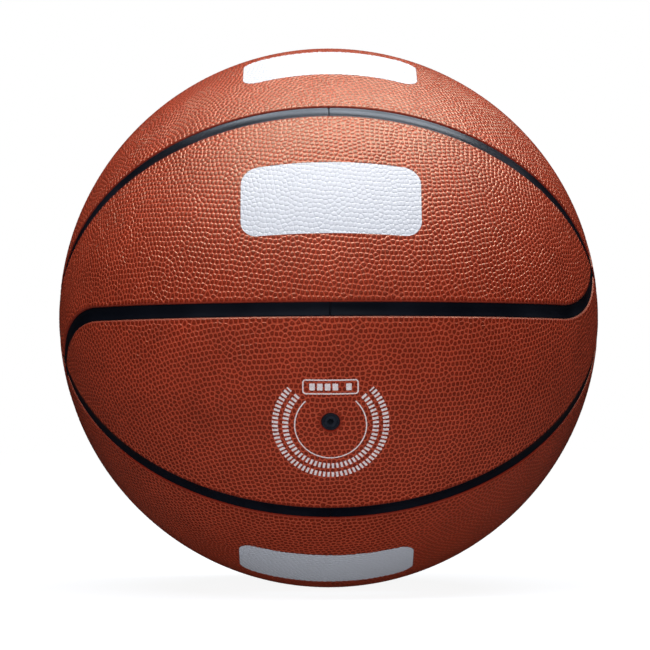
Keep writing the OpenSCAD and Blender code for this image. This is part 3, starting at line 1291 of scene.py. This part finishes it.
    def snapped(self, plan: PebbleField, points: Array) -> tuple[Array, Array]:
        """Moves points onto the field's edge.

        Args:
            plan: The pebbled field.
            points: Unit vectors near its edge.

        Returns:
            The moved points, and for each the vector that leads out of the field, longer at a corner.
        """
        points = points.copy()
        for _ in range(2):
            gaps = plan.edges(points)
            size = np.array([np.abs(gap) for gap, _ in gaps])
            nearest = size.argmin(0)
            out = np.zeros_like(points)
            for k, (gap, toward) in enumerate(gaps):
                corner = (size[k] < self.corner_reach * plan.spacing) & (k < SEAM_COUNT)
                use = ((nearest == k) | corner)[:, None]
                points = np.where(use, step(points, toward, -gap / SEAMS.ball_r), points)
                out -= toward * use
        return points, out

    def underside(self, plan: PebbleField, rim: Array, edge: Array) -> tuple[Array, Array]:
        """Closes the panel below with coarse triangles.

        Args:
            plan: The pebbled field.
            rim: Unit vectors of the lowest row of the edge.
            edge: Pairs of rim points that are joined.

        Returns:
            The new points inside the rim, and triangles that number the rim's points first.
        """
        trial = spiral(self.under_points)
        inner = trial[plan.least_gap(trial) > self.under_inset]
        points = np.vstack([rim, inner])
        faces = plan.map.triangles(points, edge)
        middle = unit(points[faces].mean(1))
        return inner, faces[plan.least_gap(middle) > self.under_slack - plan.edge]

    @staticmethod
    def store(mesh: Mesh, name: str, kind: str, values: Array) -> None:
        """Stores one value for each vertex, and 0 for the vertices after the last value."""
        padded = np.zeros(len(mesh.vertices), np.float32 if kind == "FLOAT" else np.int32)
        padded[: len(values)] = values
        mesh.attributes.new(name, kind, "POINT").data.foreach_set("value", padded)

    @staticmethod
    def lay_map(mesh: Mesh, flat: Array, loops: Array, hidden: Array) -> None:
        """Gives the mesh the bake's map, with the hidden underside small in a free corner."""
        low, high = flat.min(0), flat.max(0)
        place = ((flat - low) / ((high - low).max() * MAP_ROOM))[loops.ravel()]
        small = np.repeat(hidden, 3)[:, None]
        at = np.where(small, place * MAP_HIDDEN + MAP_CORNER, place + MAP_MARGIN)
        layer = mesh.uv_layers.new(name=BAKE_MAP)
        layer.uv.foreach_set("vector", at.astype(np.float32).ravel())


def pebble_tree() -> Tree:
    """Builds the geometry tree that raises each pebble of a panel by its own height."""
    shape = ("Geometry", "Geometry")
    sizes = floats("Pebble Height", "Height Spread", "Dome")
    takes = [shape, *sizes, ("Seed", "Int"), ("Material", "Material")]
    s = GroupSheet("Raise Pebbles", takes, [shape], "GeometryNodeTree")
    at, named = s.at, "GeometryNodeInputNamedAttribute"
    share = s.read("Attribute", named, {"Name": "pebble"}, data_type="FLOAT")
    number = s.read("Attribute", named, {"Name": "cell"}, data_type="INT")
    calm = s.read("Attribute", named, {"Name": "calm"}, data_type="FLOAT")
    span = {"Min": 0.0, "Max": 1.0, "ID": number, "Seed": at["Seed"]}
    tone = s.read("Value", "FunctionNodeRandomValue", span, data_type="FLOAT")
    own = ((tone - 0.5) * at["Height Spread"] + 1.0) * (1.0 - calm)
    lift = s.math("POWER", share, at["Dome"]) * at["Pebble Height"] * own
    outward = s.vector("NORMALIZE", s.read("Position", "GeometryNodeInputPosition"))
    moved = {"Geometry": at["Geometry"], "Offset": s.vector("SCALE", outward, lift)}
    raised = s.read("Geometry", "GeometryNodeSetPosition", moved)
    kept = {"Geometry": raised, "Name": "tone", "Value": tone}
    toned = s.read("Geometry", "GeometryNodeStoreNamedAttribute", kept, data_type="FLOAT", domain="POINT")
    whole = s.read("Geometry", "GeometryNodeRealizeInstances", {"Geometry": toned})
    dress = {"Geometry": whole, "Material": at["Material"]}
    s.give("Geometry", s.read("Geometry", "GeometryNodeSetMaterial", dress))
    return s.tree


def raise_pebbles(panel: Object, tree: Tree, values: Inputs) -> None:
    """Runs the pebble tree on a panel and keeps the result as a plain mesh.

    Args:
        panel: The panel with its pebbles still flat.
        tree: The tree from pebble_tree.
        values: What the tree's inputs get, by name.
    """
    modifier = panel.modifiers.new("Pebbles", "NODES")
    modifier.node_group = tree
    for item in tree.interface.items_tree:
        if item.item_type == "SOCKET" and item.in_out == "INPUT" and item.name in values:
            modifier[item.identifier] = values[item.name]
    graph = bpy.context.evaluated_depsgraph_get()
    flat, raised = panel.data, panel.evaluated_get(graph)
    made = bpy.data.meshes.new_from_object(raised, preserve_all_data_layers=True, depsgraph=graph)
    panel.modifiers.remove(modifier)
    panel.data = made
    bpy.data.meshes.remove(flat)
    made.name = panel.name
    for name in ("cell", "calm"):
        made.attributes.remove(made.attributes[name])


@dataclass
class Cover:
    """The eight panels of the cover."""

    finish: CoverFinish = field(default_factory=CoverFinish)
    hole_r: float = 3.9 * MM
    seed: int = 11

    def panels(self) -> list[CoverPanel]:
        """The panels with their places and print."""
        upper = BoxMark(math.radians(0.35), math.radians(23.1))
        top = BoxMark(math.radians(0.45), math.radians(66.9))
        bottom = BoxMark(math.radians(-0.9), math.radians(-67.5))
        return [
            CoverPanel("panel_front_upper", Quarter.FRONT, False, self.seed, upper),
            CoverPanel(
                "panel_front_lower", Quarter.FRONT, True, self.seed + 1, None, ValveMarks(), self.hole_r
            ),
            CoverPanel("panel_top_front", Quarter.TOP, False, self.seed + 2, top),
            CoverPanel("panel_top_back", Quarter.TOP, True, self.seed + 3),
            CoverPanel("panel_back_lower", Quarter.BACK, False, self.seed + 4),
            CoverPanel("panel_back_upper", Quarter.BACK, True, self.seed + 5),
            CoverPanel("panel_bottom_back", Quarter.BOTTOM, False, self.seed + 6),
            CoverPanel("panel_bottom_front", Quarter.BOTTOM, True, self.seed + 7, bottom),
        ]

    def build(self) -> None:
        """Builds all the panels."""
        pebbles = pebble_tree()
        for panel in self.panels():
            panel.build(pebbles, self.finish)


# ---------------------------------------------------------------------------------------------
# Channel ribs
# ---------------------------------------------------------------------------------------------


@dataclass
class ChannelRibs:
    """The two frames of black ribs that line the channels between the panels.

    Attributes:
        half_width: Half a rib's width.
        crown_r: Height of the crown above the ball's centre, before any drop.
        base_r: Height of the underside.
        joint: Half the gap between the two frames.
        joint_roll: How far the crown drops at the joint.
        joint_reach: Distance from the joint within which it drops.
        most_drop: The deepest drop of the crown.
        pitch: Distance between points along a rib.
        rows: Distances of the rows of points from a rib's middle.
        drops: How far the crown drops at these rows.
        apart: Least distance between two points.
        starts: Distances from the ball's middle of the points close to the joint, after the first.
        begin: Distance from there at which the even pitch begins.
        most_swing: How far round its cone a curl is followed.
        edge_slack: How far inside the rib's edge a triangle's middle lies at least.
        row_slack: How far a point may lie off its row.
        joint_slack: Share of half the gap within which no point lies.
        finish: The rubber's finish.
    """

    half_width: float = 2.9 * MM
    crown_r: float = 119.68 * MM
    base_r: float = 118.93 * MM
    joint: float = 0.03 * MM
    joint_roll: float = 0.40 * MM
    joint_reach: float = 0.45 * MM
    most_drop: float = 0.52 * MM
    pitch: float = 1.25 * MM
    rows: tuple[float, ...] = (0.0, 0.9 * MM, 1.7 * MM, 2.3 * MM, 2.7 * MM, 2.9 * MM)
    drops: tuple[float, ...] = (0.36 * MM, 0.33 * MM, 0.22 * MM, 0.07 * MM, 0.03 * MM, 0.12 * MM)
    apart: float = 0.12 * MM
    starts: tuple[float, ...] = (0.2 * MM, 0.42 * MM, 0.8 * MM)
    begin: float = 1.8 * MM
    most_swing: float = 2.2
    edge_slack: float = 0.004 * MM
    row_slack: float = 0.03 * MM
    joint_slack: float = 0.98
    finish: RubberFinish = RubberFinish(
        (0.003, 0.0038, 0.007), (0.005, 0.0062, 0.011), 0.38, 0.55, (0.74, 0.85, 1.0)
    )

    def build(self) -> None:
        """Builds the right frame and the left one, which is the right one mirrored and turned."""
        points, faces = self.frame_mesh()
        material = self.finish.material("Channel Rubber")
        turned = np.array([[-1.0, 0, 0], [0, 0, -1], [0, 1, 0]])
        for name, node, place, loops in (
            ("channel_right", "rib_frame_right", points, faces),
            ("channel_left", "rib_frame_left", points @ turned.T, faces[:, ::-1]),
        ):
            rib = plain_piece(name, place, loops, material)
            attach(rib, BODY)
            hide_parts(node)
            log.info("%s: %d triangles", name, len(rib.data.polygons))

    def centre_lines(self) -> list[tuple[Array, Array]]:
        """Points along the middle of each channel of the right half, with their sideways vectors."""
        ends = np.array([self.joint, *self.starts]) / SEAMS.ball_r
        begin, pitch = self.begin / SEAMS.ball_r, self.pitch / SEAMS.ball_r
        lines = []
        for side in (1.0, -1.0):
            along = unit(np.array([0.0, -1.0, side]))
            across = unit(np.array([0.0, side, 1.0]))
            turn = np.r_[ends, np.arange(begin, math.pi - begin, pitch), math.pi - ends]
            points = np.sin(turn)[:, None] * RIGHT + np.cos(turn)[:, None] * along
            lines.append((points, np.broadcast_to(across, points.shape)))
        turn = np.r_[ends, np.arange(begin, SEAMS.curl_start, pitch)]
        straight = np.sin(turn)[:, None] * RIGHT - np.cos(turn)[:, None] * np.array([0.0, 1.0, 0.0])
        axis, cone = SEAMS.curl_axis, SEAMS.curl_cone
        bend = np.array([math.sin(SEAMS.curl_start), -math.cos(SEAMS.curl_start), 0.0])
        arm = unit(bend - (bend @ axis) * axis)
        swing = np.arange(0.0, self.most_swing, pitch / math.sin(cone))[:, None]
        ray = np.cos(swing) * arm + np.sin(swing) * np.cross(axis, arm)
        curl = math.cos(cone) * axis + math.sin(cone) * ray
        inward = math.sin(cone) * axis - math.cos(cone) * ray
        within = SEAMS.upper_seam(curl)[0] > 0
        curl, inward = curl[within], inward[within]
        wander = np.vstack([straight, curl])
        sideways = np.vstack([np.broadcast_to(UP, straight.shape), inward])
        for quarter in Quarter:
            lines.append((wander @ quarter.matrix.T, sideways @ quarter.matrix.T))
        return lines

    def crossings(self) -> Array:
        """Points on the mitre lines where two channels cross."""
        radius, crossing_turn = SEAMS.ball_r, self.crossing_turn()
        found = []
        for side, turn in ((1.0, math.pi / 2), (1.0, crossing_turn), (1.0, math.pi - crossing_turn)):
            along = unit(np.array([0.0, -1.0, side]))
            across = unit(np.array([0.0, side, 1.0]))
            middle = math.sin(turn) * RIGHT + math.cos(turn) * along
            onward = math.cos(turn) * RIGHT - math.sin(turn) * along
            found.append(middle)
            for row in self.rows[1:]:
                for a in (-1, 1):
                    for b in (-1, 1):
                        found.append(unit(middle + (a * onward + b * across) * row / radius))
        return np.array(found)

    @staticmethod
    def crossing_turn() -> float:
        """Angle from the middle at which the curl meets the upper straight seam."""
        axis = SEAMS.curl_axis
        return math.asin(axis[0]) + SEAMS.curl_cone

    def frame_mesh(self) -> tuple[Array, Array]:
        """Makes the right frame as a closed shell.

        Returns:
            Its vertices and its triangles.
        """
        points = self.scattered()
        gap = SEAMS.nearest_seam(points)
        faces = FlatMap(RIGHT).triangles(points)
        middle = unit(points[faces].mean(1))
        inside = SEAMS.nearest_seam(middle) < self.half_width - self.edge_slack
        inside &= middle[:, 0] > self.joint / SEAMS.ball_r
        faces = faces[inside]
        drop = np.interp(gap, self.rows, self.drops)
        from_joint = points[:, 0] * SEAMS.ball_r - self.joint
        drop = drop + self.joint_roll * np.clip(1 - from_joint / self.joint_reach, 0, 1) ** 2
        drop = np.minimum(drop, self.most_drop)
        top = points * (self.crown_r - drop)[:, None]
        base = points * self.base_r
        n = len(points)
        key = np.vstack([faces[:, [0, 1]], faces[:, [1, 2]], faces[:, [2, 0]]])
        rim = key[~np.isin(key[:, 0] * n + key[:, 1], key[:, 1] * n + key[:, 0])]
        wall_a = np.column_stack([rim[:, 0], n + rim[:, 0], n + rim[:, 1]])
        wall_b = np.column_stack([rim[:, 0], n + rim[:, 1], rim[:, 1]])
        loops = np.vstack([faces, (faces + n)[:, ::-1], wall_a, wall_b])
        used, loops = np.unique(loops, return_inverse=True)
        return np.vstack([top, base])[used], loops.reshape(-1, 3)

    def scattered(self) -> Array:
        """Points of the frame's crown, row by row, with none too close to another."""
        rows = [self.crossings()]
        for points, across in self.centre_lines():
            for row in self.rows:
                for side in (1.0, -1.0) if row else (1.0,):
                    angle = np.full(len(points), side * row / SEAMS.ball_r)
                    moved = step(points, across, angle)
                    own = np.abs(SEAMS.nearest_seam(moved) - row) < self.row_slack
                    rows.append(moved[own])
        points = np.vstack(rows)
        points = points[points[:, 0] > self.joint / SEAMS.ball_r * self.joint_slack]
        tree = KDTree(len(points))
        for i, p in enumerate(points):
            tree.insert(p, i)
        tree.balance()
        kept = np.ones(len(points), bool)
        for i, p in enumerate(points):
            if kept[i]:
                for _, j, _ in tree.find_range(p, self.apart / SEAMS.ball_r):
                    kept[j] = kept[j] and j <= i
        return points[kept]


# ---------------------------------------------------------------------------------------------
# Valve
# ---------------------------------------------------------------------------------------------


@dataclass
class Valve:
    """The valve's rubber body and the self-closing plug in it, turned on the valve's axis.

    A profile lists distances from the axis and heights above the ball's centre in millimetres.
    """

    tilt: float = VALVE_TILT
    turns: int = 96
    body_profile: tuple[Pair, ...] = (
        (2.76, 119.62), (2.80, 119.80), (2.92, 119.89), (3.20, 119.92), (3.46, 119.90),
        (3.66, 119.82), (3.77, 119.66), (3.80, 119.40), (3.80, 118.30), (3.80, 115.44),
        (6.50, 115.32), (9.50, 115.11), (12.0, 114.87), (13.8, 114.67), (14.0, 114.52),
        (13.9, 114.30), (12.0, 114.28), (8.00, 114.30), (5.60, 114.26), (5.15, 114.10),
        (5.00, 113.70), (5.00, 105.80), (4.80, 105.40), (4.40, 105.02), (4.10, 104.90),
        (3.10, 104.90), (2.86, 105.10), (2.85, 108.85), (2.72, 108.95), (2.15, 108.95),
        (2.05, 109.10), (2.05, 117.55), (2.15, 117.65), (2.70, 117.65), (2.75, 117.75),
    )
    plug_profile: tuple[Pair, ...] = (
        (0.00, 104.90), (2.10, 104.90), (2.35, 105.02), (2.70, 105.40), (2.80, 105.70),
        (2.80, 108.60), (2.72, 108.82), (2.50, 108.90), (2.10, 108.92), (2.00, 109.05),
        (2.00, 117.60), (2.10, 117.70), (2.55, 117.72), (2.70, 117.85), (2.70, 119.55),
        (2.64, 119.74), (2.48, 119.84), (2.20, 119.86), (1.80, 119.80), (1.55, 119.78),
        (1.38, 119.74), (1.24, 119.64), (1.16, 119.45), (1.15, 119.20), (1.15, 110.80),
        (1.08, 110.65), (0.90, 110.60), (0.00, 110.60),
    )
    body_finish: RubberFinish = RubberFinish(
        (0.010, 0.012, 0.019), (0.016, 0.019, 0.028), 0.46, 0.35, grain=3000.0, cloud=300.0
    )
    plug_finish: RubberFinish = RubberFinish(
        (0.013, 0.016, 0.025), (0.020, 0.024, 0.034), 0.40, 0.35, grain=3000.0, cloud=300.0
    )

    def turned(self, profile: Sequence[Pair], closed: bool) -> tuple[Array, Array]:
        """Turns a profile about the valve's axis.

        Args:
            profile: Distances from the axis and heights, clockwise with the axis at the left.
            closed: True if the last point joins the first one, and not the axis.

        Returns:
            Vertices in place and triangles.
        """
        angle = np.arange(self.turns) * TURN / self.turns
        rim = np.column_stack([np.cos(angle), np.sin(angle)])
        axis = np.array([0.0, -math.cos(self.tilt), -math.sin(self.tilt)])
        across, rise = RIGHT, np.cross(axis, RIGHT)
        points, starts = [], []
        for reach, height in profile:
            starts.append(len(points))
            ring = rim if reach > 0 else rim[:1] * 0
            for a, b in ring:
                points.append((a * reach * across + b * reach * rise + height * axis) * MM)
        faces = []
        count = len(profile)
        for i in range(count if closed else count - 1):
            j = (i + 1) % count
            for k in range(self.turns):
                m = (k + 1) % self.turns
                a, b = (starts[i] + k, starts[i] + m) if profile[i][0] > 0 else (starts[i], starts[i])
                c, d = (starts[j] + k, starts[j] + m) if profile[j][0] > 0 else (starts[j], starts[j])
                if a != b:
                    faces.append((a, b, d) if c != d else (a, b, c))
                if c != d:
                    faces.append((a, d, c))
        return np.array(points), np.array(faces)

    def build(self) -> None:
        """Builds the body and the plug."""
        for name, node, slot, profile, closed, finish in (
            ("valve_sleeve", "valve_body", "valve", self.body_profile, True, self.body_finish),
            ("valve_core", "valve_plug", "plug", self.plug_profile, False, self.plug_finish),
        ):
            points, faces = self.turned(profile, closed)
            a, b, c = (points[faces[:, k]] for k in range(3))
            volume = (np.cross(b - a, c - a) * (a + b + c)).sum()
            material = finish.material(name.replace("_", " ").title())
            piece = plain_piece(name, points, faces if volume > 0 else faces[:, ::-1], material)
            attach(piece, BODY)
            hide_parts(node)
            log.info("%s: %d triangles", name, len(piece.data.polygons))


# ---------------------------------------------------------------------------------------------
# Inner layers and studio
# ---------------------------------------------------------------------------------------------


@dataclass
class InnerLayers:
    """The layers under the cover, whose solids are shown as they are."""

    sponge: SpongeFinish = field(default_factory=SpongeFinish)
    thread: ThreadFinish = field(default_factory=ThreadFinish)
    butyl: RubberFinish = RubberFinish(
        (0.022, 0.022, 0.026), (0.035, 0.035, 0.040), 0.35, grain=900.0, cloud=25.0
    )

    def dress(self) -> None:
        """Gives each layer its material."""
        for node, material in (
            ("carcass", self.sponge.material("Sponge Rubber")),
            ("winding", self.thread.material("Wound Thread")),
            ("bladder", self.butyl.material("Butyl")),
        ):
            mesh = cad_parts[node].data
            mesh.materials.clear()
            mesh.materials.append(material)
            log.info("%s: dressed", node)


@dataclass(frozen=True)
class Lamp:
    """A rectangular lamp that the camera doesn't see.

    Attributes:
        name: Its name.
        power: Its power in watts.
        size: Its width and height.
        place: Its middle.
        aim: The point that it faces, at first the ball's centre.
        diffuse: False if it only makes gloss.
        glossy: False if it makes no gloss.
    """

    name: str
    power: float
    size: Pair
    place: Triple
    aim: Triple = (0.0, 0.0, 0.0)
    diffuse: bool = True
    glossy: bool = True

    def hang(self) -> None:
        """Puts the lamp in the scene."""
        light = bpy.data.lights.new(self.name, "AREA")
        light.shape = "RECTANGLE"
        light.size, light.size_y = self.size
        light.energy = self.power
        made = bpy.data.objects.new(self.name, light)
        made.visible_camera = False
        made.visible_diffuse = self.diffuse
        made.visible_glossy = self.glossy
        made.location = self.place
        made.rotation_euler = (Vector(self.aim) - Vector(self.place)).to_track_quat("-Z", "Y").to_euler()
        bpy.context.scene.collection.objects.link(made)


@dataclass
class Studio:
    """Floor, light and camera.

    The lamps are a wide one overhead, one in front, a weak one that lies on the floor under the
    ball's front, and one behind the camera for the gloss.
    """

    distance: float = 12.2468
    tilt: float = -0.0307279
    yaw: float = 0.00552021
    roll: float = -0.00528272
    focal_px: float = 3291.0
    image_px: float = 650.0
    middle_px: Pair = (328.586, 317.958)
    sky: Pair = (0.004, 0.02)
    sky_span: Pair = (-0.35, 0.95)
    floor_half: float = 6.0
    floor_colour: Colour = (0.12, 0.13, 0.16)
    floor_glow: Pair = (0.91, 1.0)
    floor_fade: Pair = (0.2, 0.9)
    lamps: tuple[Lamp, ...] = (
        Lamp("key", 25.0, (1.8, 0.45), (0.05, -0.16, 1.1)),
        Lamp("fill", 7.3, (0.4, 0.2), (0.0, -1.2, 0.0), glossy=False),
        Lamp(
            "board",
            0.058,
            (0.30, 0.32),
            (0.0, -0.11, -SEAMS.ball_r - 0.1 * MM),
            (0.0, -0.11, 1.0),
            glossy=False,
        ),
        Lamp("gloss", 1.7, (1.6, 1.0), (0.0, -2.2, 0.8), diffuse=False),
    )

    def build(self) -> None:
        """Builds the floor, the light and the camera."""
        self.floor()
        self.world()
        for lamp in self.lamps:
            lamp.hang()
        self.camera()

    def floor(self) -> None:
        """Lays the plain floor at the ball's foot. The camera sees it white, fading from a pale grey."""
        half, low = self.floor_half, -SEAMS.ball_r - 0.2 * MM
        points = np.array([[-half, -half, low], [half, -half, low], [half, half, low], [-half, half, low]])
        s = MaterialSheet("Pale Floor")
        away = s.smooth(s.vector("LENGTH", s.place()), *self.floor_fade)
        colour = s.mix(s.ray("Glossy"), self.floor_colour, BLACK)
        glow = s.ray("Camera") * s.between(away, *self.floor_glow)
        light = {"Emission Color": WHITE, "Emission Strength": glow}
        material = s.shade({"Base Color": colour, "Roughness": 0.9} | light)
        floor = plain_piece("floor", points, np.array([[0, 1, 2], [0, 2, 3]]), material)

    def world(self) -> None:
        """Lights the scene softly from above, and shows white behind the ball."""
        world = bpy.data.worlds.new("Studio")
        bpy.context.scene.world = world
        world.use_nodes = True
        s = NodeSheet(world.node_tree)
        _, _, height = s.parts(s.read("Generated", "ShaderNodeTexCoord"))
        level = s.between(s.smooth(height, *self.sky_span), *self.sky) * (1.0 - s.ray("Glossy"))
        inputs = {"Factor": s.ray("Camera"), "A": level, "B": 1.0}
        strength = s.read("Result", "ShaderNodeMix", inputs, data_type="FLOAT")
        back = s.read("Background", "ShaderNodeBackground", {"Color": WHITE, "Strength": strength})
        s.add("ShaderNodeOutputWorld", {"Surface": back})

    def camera(self) -> None:
        """Puts the camera where the photograph was taken."""
        turns = ((self.roll, "Y"), (self.tilt, "X"), (self.yaw, "Z"))
        roll, tilt, yaw = (Matrix.Rotation(angle, 3, axis) for angle, axis in turns)
        back = (roll @ tilt @ yaw).transposed()
        right, forward, up = (back @ Vector(v) for v in ((1, 0, 0), (0, 1, 0), (0, 0, 1)))
        data = bpy.data.cameras.new("camera")
        data.sensor_width = 36.0
        data.lens = self.focal_px / self.image_px * data.sensor_width
        data.shift_x = (self.image_px / 2 - self.middle_px[0]) / self.image_px
        data.shift_y = (self.middle_px[1] - self.image_px / 2) / self.image_px
        data.clip_start, data.clip_end = 0.05, 50.0
        camera = bpy.data.objects.new("camera", data)
        place = Matrix((right, up, -forward)).transposed().to_4x4()
        place.translation = -forward * self.distance * SEAMS.ball_r
        camera.matrix_world = place
        bpy.context.scene.collection.objects.link(camera)
        bpy.context.scene.camera = camera


def main() -> None:
    """Builds the ball's pieces in order, then the studio."""
    logging.basicConfig(level=logging.INFO, format="%(name)s: %(message)s")
    bpy.context.scene.view_settings.view_transform = "Standard"
    Cover().build()
    ChannelRibs().build()
    Valve().build()
    InnerLayers().dress()
    Studio().build()


if __name__ == "__main__":
    main()
